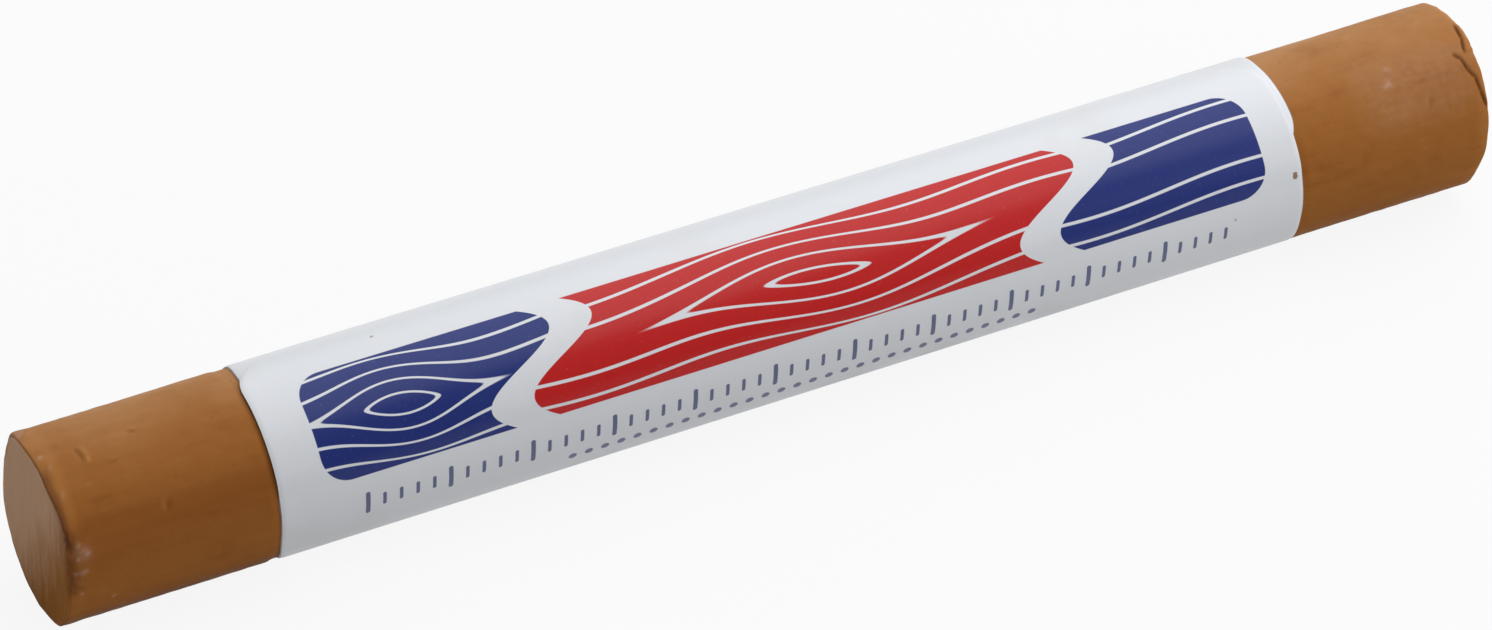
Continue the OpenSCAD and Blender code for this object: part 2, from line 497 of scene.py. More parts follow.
near_dust = NEAR_SHEEN * soft_step(degrees, *NEAR_SHEEN_TURNS)
far_dust = FAR_SHEEN * soft_step(degrees, *FAR_SHEEN_TURNS)
dust = faces_out * np.where(at_near_end, near_dust, far_dust) * (1 - soft_step(degrees, *SHEEN_ENDS))
# Painted shadow along the underside
grime = faces_out * np.where(at_near_end, NEAR_UNDERSIDE_SHADE, FAR_UNDERSIDE_SHADE) * soft_step(np.abs(degrees), *UNDERSIDE_SHADE_TURNS)
# Painted shade: a darker band on the near end's side towards the camera, below the painted sheen
deep = faces_out * at_near_end * soft_step(degrees, *DEEP_STARTS) * (1 - soft_step(degrees, *DEEP_ENDS))
smear_width = SMEAR_WIDTH * window(degrees, *SMEAR_TURNS, SMEAR_FADE)
smear = at_near_end * (faces_out > 0) * (1 - soft_step(near_gap - smear_width, *SMEAR_BORDER))
haze = window(degrees, *HAZE_TURNS, HAZE_TURN_FADE) * window(ring_x, *HAZE_X, HAZE_X_FADE)
print(f"most dust {dust.max():.2f}, most grime {grime.max():.2f}")

# %% Masks for the material
CUT_BORDER = (0.0, 0.25)
FAR_RIM_WIDTH = 0.5
# How strongly each mark counts in its mask
# The smear counts partly as cut colour and partly as painted shade, where its worn edge turns from the
# light
SMEAR_AS_CUT, SMEAR_AS_CREASE = 0.6, 0.2
CREASE_SHARE, CRUMBLE_SHARE = 0.45, 0.45
CRACK_SHARE, NICK_SHARE = 0.85, 0.7
HAZE_SHARE = 0.14
# The rolled near rim gets a painted highlight, and the far rim is lighter too
ROLL_SHARE, FAR_RIM_SHARE = 0.30, 0.35

far_rim = faces_out * bell(far_gap, FAR_RIM_WIDTH)
# Painted shade in the crease, the crumbled hollow and on the smear, and the painted shadow on the underside
darkening = CREASE_SHARE * crease + CRUMBLE_SHARE * crumble + SMEAR_AS_CREASE * smear + grime
masks = {
    "cut": np.maximum(on_cut * soft_step(from_rim, *CUT_BORDER), SMEAR_AS_CUT * smear),
    "crease": np.clip(darkening, 0, 1),
    # Painted shade in the cracks and in the nicks' hollows
    "crack": np.maximum(CRACK_SHARE * crack_shade, NICK_SHARE * nick_shade),
    "bloom": np.clip(HAZE_SHARE * haze + pale, 0, 1),
    "dust": dust,
    "deep": deep,
    # Painted highlight on the rolled rim and raised bumps, and a lighter band along the far rim
    "rim": np.clip(ROLL_SHARE * roll + raised_highlight + FAR_RIM_SHARE * far_rim, 0, 1),
}
print("masks:", {name: round(float(mask.mean()), 3) for name, mask in masks.items()})

# %% [markdown]
# The grid becomes a mesh here. Its quads lie between neighbours of the grid, the last angle joins the
# first, and a fan of triangles closes the middle of each cut.

# %% The wax piece
def grid_quads(index, wrap=False):
    """Quads between neighbours in a grid of point numbers. wrap joins its last column to its first."""
    if wrap:
        index = np.concatenate([index, index[:, :1]], axis=1)
    corners = (index[:-1, :-1], index[1:, :-1], index[1:, 1:], index[:-1, 1:])
    return np.stack(corners, axis=-1).reshape(-1, 4)


def make_piece(name, points, faces, sharp_angle):
    """A mesh piece from points in millimetres. Edges that bend more than the sharp angle stay crisp."""
    mesh = bpy.data.meshes.new(name)
    mesh.from_pydata(np.asarray(points) * MM, [], faces)
    mesh.shade_smooth()
    mesh.set_sharp_from_angle(angle=math.radians(sharp_angle))
    mesh.validate()
    piece = bpy.data.objects.new(name, mesh)
    bpy.context.scene.collection.objects.link(piece)
    print(f"{name}: {len(mesh.vertices)} points, {len(mesh.polygons)} faces")
    return piece


rings = np.arange(skin_x.size).reshape(skin_x.shape)
near_pole, far_pole = skin_x.size, skin_x.size + 1
first, last = rings[0], rings[-1]
near_fan = np.stack([np.full_like(first, near_pole), first, np.roll(first, -1)], axis=-1)
far_fan = np.stack([np.full_like(last, far_pole), np.roll(last, -1), last], axis=-1)
wax_points = np.concatenate([skin.reshape(-1, 3), [skin[0].mean(axis=0), skin[-1].mean(axis=0)]])
wax_faces = [*grid_quads(rings, wrap=True).tolist(), *near_fan.tolist(), *far_fan.tolist()]
wax_rod = make_piece("wax_rod", wax_points, wax_faces, sharp_angle=60)
for name, mask in masks.items():
    values = np.append(mask.ravel(), [mask[0].mean(), mask[-1].mean()])
    attribute = wax_rod.data.attributes.new(name, "FLOAT", "POINT")
    attribute.data.foreach_set("value", values.astype(np.float32))
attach(wax_rod, "root")
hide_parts("wax_stick")

# %% [markdown]
# ## The label and its adhesive
#
# The label is a die-cut rectangle of paper with round corners. It goes once round the rod, climbs onto
# its own start and laps over it. It was wound a little askew, so its first turn peeps out from under the
# lap. It could be a bent plane with a Solidify modifier, but a wound sheet has a simple formula: the
# first parameter is the angle it has been wound through, the second runs along the rod, and the radius
# steps up by one layer where the climb is. The same formula makes the film of adhesive, thinner, and a
# touch wider on the first turn, because it creeps out from under the label there. Its dark edge there is
# partly dirt and partly painted shade along the label's edges.

# %% Rows and columns of the sheet
FREE_EDGE_TURN = 19.0
LAP_WIDTH = 7.7
CLIMB_WIDTH = 1.6
CORNER_RADIUS = 2.6
CORNER_ROWS = 15
EVEN_ROWS = 268
# Columns crowd at both edges of the sheet, at these distances from it, and are even between
EDGE_COLUMNS = np.array([0, 0.04, 0.09, 0.16, 0.27, 0.45, 0.8, 1.4, 2.4, 4.0])
MIDDLE_COLUMNS = 34
MIDDLE_INSET = 5.6
lap_turn = math.degrees(LAP_WIDTH / axis_height)
climb_turn = math.degrees(CLIMB_WIDTH / axis_height)
start_turn = FREE_EDGE_TURN - lap_turn
wound_turn = 360 + lap_turn
mm_per_degree = math.radians(axis_height)


def sheet_rows(inset):
    """Angles wound through, from the start edge to the free edge: crowded at the corners, even between."""
    bend = np.radians(np.linspace(0, 90, CORNER_ROWS))
    corner = CORNER_RADIUS * (1 - np.cos(bend)) / mm_per_degree
    edge = inset / mm_per_degree
    even = np.linspace(corner[-1], wound_turn - corner[-1] - 2 * edge, EVEN_ROWS)[1:-1]
    return edge + np.concatenate([corner, even, wound_turn - 2 * edge - corner[::-1]])


def sheet_columns(half):
    """Places along the sheet from -half to half, crowded at both edges."""
    middle = np.linspace(MIDDLE_INSET - half, half - MIDDLE_INSET, MIDDLE_COLUMNS)
    return np.concatenate([EDGE_COLUMNS - half, middle, half - EDGE_COLUMNS[::-1]])


print(f"the label starts at {start_turn:.1f} degrees and is wound through {wound_turn:.1f}")

# %% The wound sheet
# How far the first turn strays along the rod in two steps, and the angles wound through at each step
STRAYS = ((0.36, -60.0, 40.0), (0.40, 65.0, 110.0))
# Angles wound through over which it comes back, and over which the creep of the adhesive ends
STRAY_BACK = (250.0, 320.0)
CREEP_ENDS = (340, 360)
CRUSH_WIDTH = 0.12
# The free edge lifts within the first of these distances of it, and more near its corners
LIFT_WIDTH, CORNER_LIFT, CORNER_LIFT_WIDTH = 0.7, 1.5, 1.5


def wound_sheet(inset, creep, first_radius, thickness, crush, lift):
    """Outer and inner grid of a sheet wound round the rod, and its flat place in millimetres.
    Rows shorten near the start and free edges by the circle of the corners. The radius is the first radius
    plus a smooth climb of one layer. The die has crushed the outer face down along every edge, and the
    free edge lifts a little. The creep widens the first turn."""
    wound = sheet_rows(inset)[:, None]
    end_gap = np.minimum(wound, wound_turn - wound) * mm_per_degree - inset
    within = np.clip(CORNER_RADIUS - end_gap, 0, None)
    half = label_length / 2 - inset - (CORNER_RADIUS - np.sqrt(CORNER_RADIUS ** 2 - within ** 2))
    half = half + creep * (1 - soft_step(wound, *CREEP_ENDS))
    columns = sheet_columns(label_length / 2)[None, :] / (label_length / 2)
    flat_x = columns * half
    stray = sum(reach * soft_step(wound, low, high) for reach, low, high in STRAYS)
    stray = stray * (1 - soft_step(wound, *STRAY_BACK))
    x = label_middle + flat_x + stray
    side_gap = half - np.abs(flat_x)
    climb = layer * soft_step(wound, 360 - climb_turn, 360)
    free_gap = (wound_turn - wound) * mm_per_degree
    corner_lift = 1 + CORNER_LIFT * np.exp(-side_gap / CORNER_LIFT_WIDTH)
    rise = lift * np.exp(-free_gap / LIFT_WIDTH) * corner_lift
    inner = first_radius + climb + rise
    outer = inner + thickness * (1 - crush * bell(np.minimum(side_gap, end_gap), CRUSH_WIDTH))
    angle = np.radians(start_turn + wound)

    def place(radius):
        """Points at a radius, at the sheet's own x and angle."""
        return np.stack([x, radius * np.sin(angle), axis_height + radius * np.cos(angle)], axis=-1)

    flat = np.stack([flat_x, np.broadcast_to(-free_gap, flat_x.shape)], axis=-1)
    return place(outer), place(inner), flat


row_count, column_count = sheet_rows(inset=0).size, sheet_columns(label_length / 2).size
print(f"each face of a sheet has {row_count} rows of {column_count} points")

# %% The printed label
ADHESIVE_THICKNESS = 0.03


def shell_faces(outer, inner):
    """Faces of a closed shell between two grids of point numbers: its outer face, and its back and rims."""
    rims = (
        np.stack([inner[0], outer[0]]),
        np.stack([outer[-1], inner[-1]]),
        np.stack([outer[:, 0], inner[:, 0]]),
        np.stack([inner[:, -1], outer[:, -1]]),
    )
    back_and_rims = [grid_quads(inner)] + [grid_quads(rim) for rim in rims]
    return grid_quads(outer)[:, ::-1], np.concatenate(back_and_rims)


def sheet_piece(name, **sizes):
    """A wound sheet as a closed piece, with its flat place as a UV map. Material 1 is its back and rims."""
    outer, inner, flat = wound_sheet(**sizes)
    number = np.arange(outer[..., 0].size).reshape(outer.shape[:2])
    face, rest = shell_faces(number, number + number.size)
    points = np.concatenate([outer.reshape(-1, 3), inner.reshape(-1, 3)])
    piece = make_piece(name, points, np.concatenate([face, rest]).tolist(), sharp_angle=35)
    mesh = piece.data
    corner = np.zeros(len(mesh.loops), np.int32)
    mesh.loops.foreach_get("vertex_index", corner)
    flat_of_point = np.concatenate([flat.reshape(-1, 2)] * 2)
    flat_map = mesh.uv_layers.new(name="flat")
    flat_map.uv.foreach_set("vector", flat_of_point[corner].astype(np.float32).ravel())
    slots = np.repeat([0, 1], [len(face), len(rest)]).astype(np.int32)
    mesh.polygons.foreach_set("material_index", slots)
    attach(piece, "root")
    return piece


paper_label = sheet_piece(
    "printed_label",
    inset=0.0,
    creep=0.0,
    first_radius=wax_radius + ADHESIVE_THICKNESS,
    thickness=layer - ADHESIVE_THICKNESS,
    crush=0.45,
    lift=0.02,
)
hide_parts("paper_label")

# %% The adhesive film
# Room that the film leaves to the wax under it and to the paper over it
HAIR = 0.002
adhesive_film = sheet_piece(
    "adhesive_film",
    inset=0.03,
    creep=0.10,
    first_radius=wax_radius + HAIR,
    thickness=ADHESIVE_THICKNESS - 2 * HAIR,
    crush=0.0,
    lift=0.0,
)
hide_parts("label_adhesive")

# %% [markdown]
# ## Tools for materials
#
# A material is a graph of nodes. Typed out in full, each node takes five lines, so a short helper adds
# one: a keyword that starts with a capital fills the input socket of that name, the others are node
# settings, and plain arguments fill the sockets in order. An effect that is used more than once is a node
# group, built once, with its own named sockets.

# %% Node helpers
class Wiring:
    """Adds nodes to one tree and links what goes into them."""

    def __init__(self, tree):
        self.tree = tree

    def feed(self, socket, value):
        """Links another node's output to a socket, or sets the socket to a plain value."""
        if isinstance(value, bpy.types.NodeSocket):
            self.tree.links.new(value, socket)
        else:
            socket.default_value = value

    def fill(self, node, **inputs):
        """Feeds a node's input sockets by name, with _ for a space in the name."""
        for key, value in inputs.items():
            self.feed(node.inputs[key.replace("_", " ")], value)

    def add(self, kind, *values, out=0, **options):
        """One node of a kind, and of its outputs the one that is asked for."""
        made = self.tree.nodes.new("ShaderNode" + kind)
        sockets = {key: value for key, value in options.items() if key[0].isupper()}
        for key, value in options.items():
            if key not in sockets:
                setattr(made, key, value)
        for socket, value in zip(made.inputs, values):
            self.feed(socket, value)
        self.fill(made, **sockets)
        return made.outputs[out]

    def math(self, operation, *values):
        """A calculation on plain values."""
        return self.add("Math", *values, operation=operation)

    def vector(self, operation, *values, out=0, **sockets):
        """A calculation on vectors."""
        return self.add("VectorMath", *values, operation=operation, out=out, **sockets)

    def ramp(self, value, low, high, to_low=0.0, to_high=1.0):
        """A soft step from one value to another as value goes from low to high."""
        return self.add("MapRange", value, low, high, to_low, to_high, interpolation_type="SMOOTHSTEP")

    def mix(self, factor, first, second):
        """The first colour at factor 0, the second at factor 1."""
        made = self.tree.nodes.new("ShaderNodeMix")
        made.data_type = "RGBA"
        # A Mix node has sockets of the same name for values, vectors and colours, so these go by number
        for index, value in ((0, factor), (6, first), (7, second)):
            self.feed(made.inputs[index], value)
        return made.outputs[2]

    def noise(self, place, scale, detail=2.0, roughness=0.5):
        """Cloudy noise of about 0 to 1."""
        return self.add("TexNoise", Vector=place, Scale=scale, Detail=detail, Roughness=roughness)

    def group(self, tree, **inputs):
        """A node group that was built before, with its inputs by name."""
        made = self.tree.nodes.new("ShaderNodeGroup")
        made.node_tree = tree
        self.fill(made, **inputs)
        return made.outputs[0]


print("node helpers:", [name for name in vars(Wiring) if not name.startswith("_")])

# %% New groups and materials
def new_group(name, output, **inputs):
    """An empty node group. The inputs say each socket's kind, and its one output is a plain value."""
    tree = bpy.data.node_groups.new(name, "ShaderNodeTree")
    for key, kind in inputs.items():
        tree.interface.new_socket(key.replace("_", " "), in_out="INPUT", socket_type="NodeSocket" + kind)
    tree.interface.new_socket(output, in_out="OUTPUT", socket_type="NodeSocketFloat")
    entry = tree.nodes.new("NodeGroupInput")
    leave = tree.nodes.new("NodeGroupOutput")
    given = [entry.outputs[key.replace("_", " ")] for key in inputs]
    print(f"group {name}: {', '.join(inputs)} to {output}")
    return Wiring(tree), given, leave.inputs[output]


def new_material(name):
    """A material, its wiring, its Principled shader and its place on the piece in millimetres."""
    material = bpy.data.materials.new(name)
    material.use_nodes = True
    wiring = Wiring(material.node_tree)
    shader = material.node_tree.nodes["Principled BSDF"]
    place = wiring.vector("SCALE", wiring.add("TexCoord", out="Object"), Scale=1 / MM)
    print("material", name)
    return material, wiring, shader, place


# %% [markdown]
# ## Effects that several materials share
#
# Fine grain breaks up the gloss of wax, paper and adhesive: two noises, one coarse and one fine,
# averaged. Handling leaves faint dull patches, a wide noise with only its peaks kept. An image could hold
# either, but a group has a scale that each material sets for itself.

# %% Grain and handling
FINER = 3.7

wires, (place, scale), leave = new_group("fine_grain", "Grain", Place="Vector", Scale="Float")
coarse = wires.noise(place, scale, detail=3.0, roughness=0.6)
fine = wires.noise(place, wires.math("MULTIPLY", scale, FINER))
wires.feed(leave, wires.math("MULTIPLY", wires.math("ADD", coarse, fine), 0.5))
fine_grain = wires.tree

wires, (place, scale), leave = new_group("handling", "Patches", Place="Vector", Scale="Float")
wires.feed(leave, wires.ramp(wires.noise(place, scale, detail=4.0, roughness=0.6), low=0.5, high=0.72))
handling = wires.tree

# %% [markdown]
# ## Wax
#
# Filler wax is pigmented right through: an even brown with slow drifts in tone and thin lengthwise
# streaks. The cut faces are paler and greyer, because the blade dragged the surface and it has bloomed
# since, and towards their upper back they are paler still, partly bloom and partly painted light.
# Creases, cracks, nicks and the crumbled edge are darkened as painted shade, the underside as painted
# shadow, and the near end's side towards the camera is painted darker below a painted sheen on the upper
# side. The rolled rim and raised bumps get a painted highlight. A little light goes into wax before it
# comes out again, so the shader gets some subsurface. An image of wax would be quicker, but it would
# stretch over the rims, and nodes don't.

# %% Wax: the body's colour
WAX_DEEP = (0.278, 0.094, 0.021, 1)
WAX_BODY = (0.338, 0.126, 0.029, 1)
WAX_LIGHT = (0.395, 0.165, 0.046, 1)
# Painted highlight on the rolled rim and on raised nicks and crumbs
WAX_HIGHLIGHT = (0.470, 0.205, 0.060, 1)
# Painted sheen on the upper side
WAX_SHEEN = (0.660, 0.410, 0.222, 1)
# How much of the tone comes from each noise
STREAK_TONE, DRIFT_TONE, BLOTCH_TONE = 0.35, 0.35, 0.30
HIGHLIGHT_SHARE = 0.9
# Streaks are drawn out along the rod
STREAK_SCALE = (0.10, 1.5, 1.5)

wax_material, wires, shader, place = new_material("filler_wax")
mark = {name: wires.add("Attribute", attribute_name=name, out="Fac") for name in masks}
streak_place = wires.vector("MULTIPLY", place, STREAK_SCALE)
drift = wires.noise(place, scale=0.22, detail=3.0, roughness=0.55)
streak = wires.noise(streak_place, scale=1.0, detail=4.0, roughness=0.6)
blotch = wires.noise(place, scale=0.8, detail=3.0, roughness=0.6)
tone = wires.math("MULTIPLY_ADD", streak, STREAK_TONE, wires.math("MULTIPLY", drift, DRIFT_TONE))
tone = wires.math("MULTIPLY_ADD", blotch, BLOTCH_TONE, tone)
body = wires.mix(wires.ramp(tone, 0.30, 0.5), WAX_DEEP, WAX_BODY)
body = wires.mix(wires.ramp(tone, 0.5, 0.76), body, WAX_LIGHT)
streaky = wires.ramp(streak, 0.3, 0.7, to_low=1.0, to_high=0.7)
# Painted shade: the near end's band below the painted sheen is mixed towards the deep tone
body = wires.mix(wires.math("MULTIPLY", mark["deep"], streaky), body, WAX_DEEP)
# Painted highlight on the rolled rim and raised bumps, and a lighter far rim
body = wires.mix(wires.math("MULTIPLY", mark["rim"], HIGHLIGHT_SHARE), body, WAX_HIGHLIGHT)
patchy = wires.ramp(drift, 0.3, 0.7, to_low=0.6, to_high=1.0)
# Painted sheen: the upper side is mixed towards a paler colour
body = wires.mix(wires.math("MULTIPLY", mark["dust"], patchy), body, WAX_SHEEN)
print("nodes so far:", len(wires.tree.nodes))

# %% Wax: the cuts' colour
CUT_PALE = (0.610, 0.375, 0.235, 1)
CUT_BROWN = (0.330, 0.130, 0.030, 1)
# Noise on the cuts is short across the near blade's path and long down it
CUT_SCALE = (0.4, 1.7, 0.30)
# The cuts are paler towards their upper back, along this direction, between these millimetres: partly
# bloom, partly painted light that falls off towards the floor
PALE_WAY = (0, 0.75, 0.66)
PALE_FROM, PALE_TO = -1.5, 6.1
CUT_CONTRAST = 0.8

cut_place = wires.add("Mapping", Vector=place, Rotation=(math.radians(NEAR_SLANT), 0, 0), Scale=CUT_SCALE)
cut_streak = wires.noise(cut_place, scale=1.0, detail=4.0, roughness=0.65)
pale_distance = wires.vector("DOT_PRODUCT", place, PALE_WAY, out="Value")
paleness = wires.ramp(pale_distance, PALE_FROM, PALE_TO, to_low=-0.40, to_high=0.60)
paleness = wires.math("MULTIPLY_ADD", cut_streak, CUT_CONTRAST, paleness)
cut_colour = wires.mix(wires.ramp(paleness, 0.0, 1.0), CUT_BROWN, CUT_PALE)
colour = wires.mix(wires.ramp(mark["cut"], 0.35, 0.95), body, cut_colour)
print("nodes so far:", len(wires.tree.nodes))

# %% Wax: bloom, specks, and painted shade in creases and cracks
BLOOM = (0.560, 0.400, 0.330, 1)
# Painted shade in creases and hollows, and also the colour of the dark specks
WAX_SHADE_AND_SPECKS = (0.072, 0.024, 0.020, 1)
# Painted shade in cracks and nicks
WAX_CRACK_SHADE = (0.110, 0.031, 0.005, 1)
PEPPER_SHARE = 0.35

flecks = wires.ramp(wires.noise(place, scale=2.2, detail=4.0, roughness=0.6), 0.32, 0.72)
bloom = wires.math("MULTIPLY", mark["bloom"], wires.math("MULTIPLY_ADD", flecks, 0.5, 0.4))
colour = wires.mix(bloom, colour, BLOOM)
pepper = wires.ramp(wires.noise(place, scale=4.5), 0.70, 0.78)
# Painted shade from the crease mask, and dark specks at random
shade_and_specks = wires.math("MAXIMUM", mark["crease"], wires.math("MULTIPLY", pepper, PEPPER_SHARE))
colour = wires.mix(shade_and_specks, colour, WAX_SHADE_AND_SPECKS)
colour = wires.mix(mark["crack"], colour, WAX_CRACK_SHADE)
print("nodes so far:", len(wires.tree.nodes))

# %% Wax: gloss, grain and the shader
# Roughness where the wax is smooth, and what grain, dull patches and the cuts add to it
WAX_ROUGH, GRAIN_ROUGH, DULL_ROUGH, CUT_ROUGH = 0.30, 0.22, 0.10, 0.25
BUMP_HEIGHT = 0.06
SCATTER_DEPTH = 0.6

grain = wires.group(fine_grain, Place=place, Scale=2.0)
dull = wires.group(handling, Place=place, Scale=0.35)
rough = wires.math("MULTIPLY_ADD", dull, DULL_ROUGH, WAX_ROUGH)
rough = wires.math("MULTIPLY_ADD", grain, GRAIN_ROUGH, rough)
rough = wires.math("MULTIPLY_ADD", mark["cut"], CUT_ROUGH, rough)
lines = wires.math("MULTIPLY_ADD", streak, 0.6, wires.math("MULTIPLY", grain, 0.5))
bump = wires.add("Bump", Height=lines, Strength=0.35, Distance=BUMP_HEIGHT * MM)
wires.fill(
    shader,
    Base_Color=colour,
    Roughness=rough,
    Normal=bump,
    Subsurface_Weight=0.10,
    Subsurface_Radius=(1.0, 0.45, 0.2),
    Subsurface_Scale=SCATTER_DEPTH * MM,
    Specular_IOR_Level=0.005,
    Specular_Tint=(1.0, 0.82, 0.6, 1),
)
wax_rod.data.materials.append(wax_material)
print("wax material:", len(wires.tree.nodes), "nodes")

# %% [markdown]
# ## The print on the label
#
# The label carries a plain design of wood: a band with round corners, in two inks, parted by two waves,
# with white grain lines that flow round knots, and below it a scale of ticks and a dotted line. It could
# be painted as an image, but ink has sharp edges, so the print is measured instead. Each shape is a
# distance in millimetres on the flat label, which the UV map holds, and ink is where it is below zero.

# %% A patch with round corners
INK_EDGE = 0.025

wires, (flat, middle, half_size, corner), leave = new_group(
    "rounded_patch", "Mask", Flat="Vector", Middle="Vector", Half_Size="Vector", Corner="Float"
)
# Distance from a box with round corners: how far a point is past the corners' centres, less their radius
core = wires.vector("SUBTRACT", half_size, wires.add("CombineXYZ", corner, corner, 0.0))
past = wires.vector("SUBTRACT", wires.vector("ABSOLUTE", wires.vector("SUBTRACT", flat, middle)), core)
outside = wires.vector("LENGTH", wires.vector("MAXIMUM", past, (0, 0, 0)), out="Value")
distance = wires.math("SUBTRACT", outside, corner)
wires.feed(leave, wires.ramp(distance, -INK_EDGE, INK_EDGE, to_low=1.0, to_high=0.0))
rounded_patch = wires.tree

# %% A row of marks
# Corners a little under half of a mark's width, so that its ends are round
ROUNDNESS = 0.98

wires, (flat, start, pitch, length, size), leave = new_group(
    "mark_row", "Mask", Flat="Vector", Start="Vector", Pitch="Float", Length="Float", Mark="Vector"
)
# The row repeats one small mark: the place along the row wraps round at every pitch
from_start = wires.add("SeparateXYZ", wires.vector("SUBTRACT", flat, start)).node
along_row = from_start.outputs["X"]
half_pitch = wires.math("MULTIPLY", pitch, 0.5)
before = wires.math("MULTIPLY", half_pitch, -1.0)
wrapped = wires.math("WRAP", along_row, half_pitch, before)
local = wires.add("CombineXYZ", wrapped, from_start.outputs["Y"], 0.0)
corner = wires.math("MULTIPLY", wires.add("SeparateXYZ", size, out="X"), ROUNDNESS)
one_mark = wires.group(rounded_patch, Flat=local, Half_Size=size, Corner=corner)
after_first = wires.math("GREATER_THAN", along_row, before)
before_last = wires.math("LESS_THAN", along_row, wires.math("ADD", length, half_pitch))
wires.feed(leave, wires.math("MULTIPLY", one_mark, wires.math("MULTIPLY", after_first, before_last)))
mark_row = wires.tree

# %% Lines of wood grain
# The lines sway along the band, this often and this far
SWAY_RATE, SWAY_REACH = 0.33, 0.28
# The knot's lines are rounded where they would fold, and its push fades away from it
KNOT_ROUND, KNOT_FADE = 0.02, -0.26

wires, (flat, knot, reach, swell, spacing, width), leave = new_group(
    "wood_lines", "Mask",
    Flat="Vector", Knot="Vector", Reach="Float", Swell="Float", Spacing="Float", Width="Float",
)
# Lines of equal level in |v| - swell * exp(-(u / reach)^2) * fade: straight far away, rings round the knot
from_knot = wires.add("SeparateXYZ", wires.vector("SUBTRACT", flat, knot)).node
u = from_knot.outputs["X"]
u_share = wires.math("DIVIDE", u, reach)
hump = wires.math("EXPONENT", wires.math("MULTIPLY", wires.math("MULTIPLY", u_share, u_share), -1.0))
sway = wires.math("MULTIPLY", wires.math("SINE", wires.math("MULTIPLY", u, SWAY_RATE)), SWAY_REACH)
v = wires.math("ADD", from_knot.outputs["Y"], sway)
v_away = wires.math("SQRT", wires.math("MULTIPLY_ADD", v, v, KNOT_ROUND))
fade = wires.math("MULTIPLY_ADD", v_away, KNOT_FADE, 1.0)
push = wires.math("MULTIPLY", wires.math("MULTIPLY", hump, swell), fade)
level = wires.math("SUBTRACT", v_away, push)
half_spacing = wires.math("MULTIPLY", spacing, 0.5)
wrapped = wires.math("WRAP", level, half_spacing, wires.math("MULTIPLY", half_spacing, -1.0))
past = wires.math("SUBTRACT", wires.math("ABSOLUTE", wrapped), wires.math("MULTIPLY", width, 0.5))
wires.feed(leave, wires.ramp(past, -INK_EDGE, INK_EDGE, to_low=1.0, to_high=0.0))
wood_lines = wires.tree

# %% [markdown]
# ## Paper
#
# Label paper has a thin smooth coating: faint fibres, a soft sheen, and dull patches from handling. Ink
# lies on the coating and is a little glossier, so one mask gives both its colour and its gloss. The cut
# edges and the back are uncoated, so they are a second material. A few crumbs of wax have left brown
# specks on the front.

# %% Printed paper: where the inks are
# Places on the flat label in millimetres: x from its middle, y from its free edge
BAND = dict(Middle=(0.2, -5.85, 0), Half_Size=(29.6, 3.25, 0), Corner=1.7)
# The waves that part the inks: their places, how far they swing, their length, and half of the white gap
FIRST_WAVE, SECOND_WAVE = -15.5, 17.5
WAVE_REACH = 2.4
WAVE_LENGTH = 7.6
HALF_GAP = 1.3
KNOT_RED = dict(Knot=(1.5, -5.85, 0), Reach=5.6, Swell=1.9, Spacing=1.25, Width=0.18)
KNOT_BLUE = dict(Knot=(-24.0, -5.85, 0), Reach=3.2, Swell=2.2, Spacing=1.25, Width=0.18)
SHORT_TICKS = dict(Start=(-27, -11.0, 0), Pitch=1.0, Length=54.0, Mark=(0.11, 0.45, 0))
LONG_TICKS = dict(Start=(-27, -11.0, 0), Pitch=5.0, Length=50.0, Mark=(0.14, 0.80, 0))
DOTS = dict(Start=(-14.5, -12.6, 0), Pitch=1.0, Length=29.0, Mark=(0.25, 0.255, 0))

printed_paper, wires, shader, place = new_material("printed_paper")
flat = wires.add("UVMap", uv_map="flat")
flat_parts = wires.add("SeparateXYZ", flat).node
above_middle = wires.math("SUBTRACT", flat_parts.outputs["Y"], BAND["Middle"][1])
phase = wires.math("MULTIPLY", above_middle, 2 * math.pi / WAVE_LENGTH)
wave = wires.math("MULTIPLY", wires.math("SINE", phase), WAVE_REACH)
past_wave = wires.math("SUBTRACT", flat_parts.outputs["X"], wave)


def right_of(x):
    """1 to the right of a wave that runs down the label at x, with an edge as sharp as ink."""
    return wires.ramp(past_wave, x - INK_EDGE, x + INK_EDGE)


def left_of(x):
    """1 to the left of such a wave."""
    return wires.ramp(past_wave, x - INK_EDGE, x + INK_EDGE, to_low=1.0, to_high=0.0)


def grained(area, knot):
    """The band's ink in an area, less the white lines of grain round a knot."""
    ink = wires.math("MULTIPLY", wires.group(rounded_patch, Flat=flat, **BAND), area)
    lines = wires.group(wood_lines, Flat=flat, **knot)
    return wires.math("MULTIPLY", ink, wires.math("SUBTRACT", 1.0, lines))


between = wires.math("MULTIPLY", right_of(FIRST_WAVE + HALF_GAP), left_of(SECOND_WAVE - HALF_GAP))
ends = wires.math("MAXIMUM", left_of(FIRST_WAVE - HALF_GAP), right_of(SECOND_WAVE + HALF_GAP))
red = grained(between, KNOT_RED)
blue = grained(ends, KNOT_BLUE)
rows = [wires.group(mark_row, Flat=flat, **row) for row in (DOTS, SHORT_TICKS, LONG_TICKS)]
marks = wires.math("MAXIMUM", rows[0], wires.math("MAXIMUM", rows[1], rows[2]))
print("print:", len(rows), "rows of marks below the band")

# %% Printed paper: its colour
PAPER = (0.745, 0.765, 0.800, 1)
PAPER_WARM = (0.715, 0.725, 0.735, 1)
INK_RED = (0.530, 0.007, 0.006, 1)
INK_BLUE = (0.009, 0.023, 0.178, 1)
INK_LINE = (0.045, 0.060, 0.180, 1)
SPECK = (0.225, 0.115, 0.040, 1)
LINE_COVER = 0.9
# Place on the flat label, half width, half height and strength
SPECKS = (
    (31.63, -8.57, 0.16, 0.25, 0.90),
    (27.6, -10.22, 0.11, 0.12, 0.45),
    (-23.8, -1.1, 0.12, 0.11, 0.60),
)
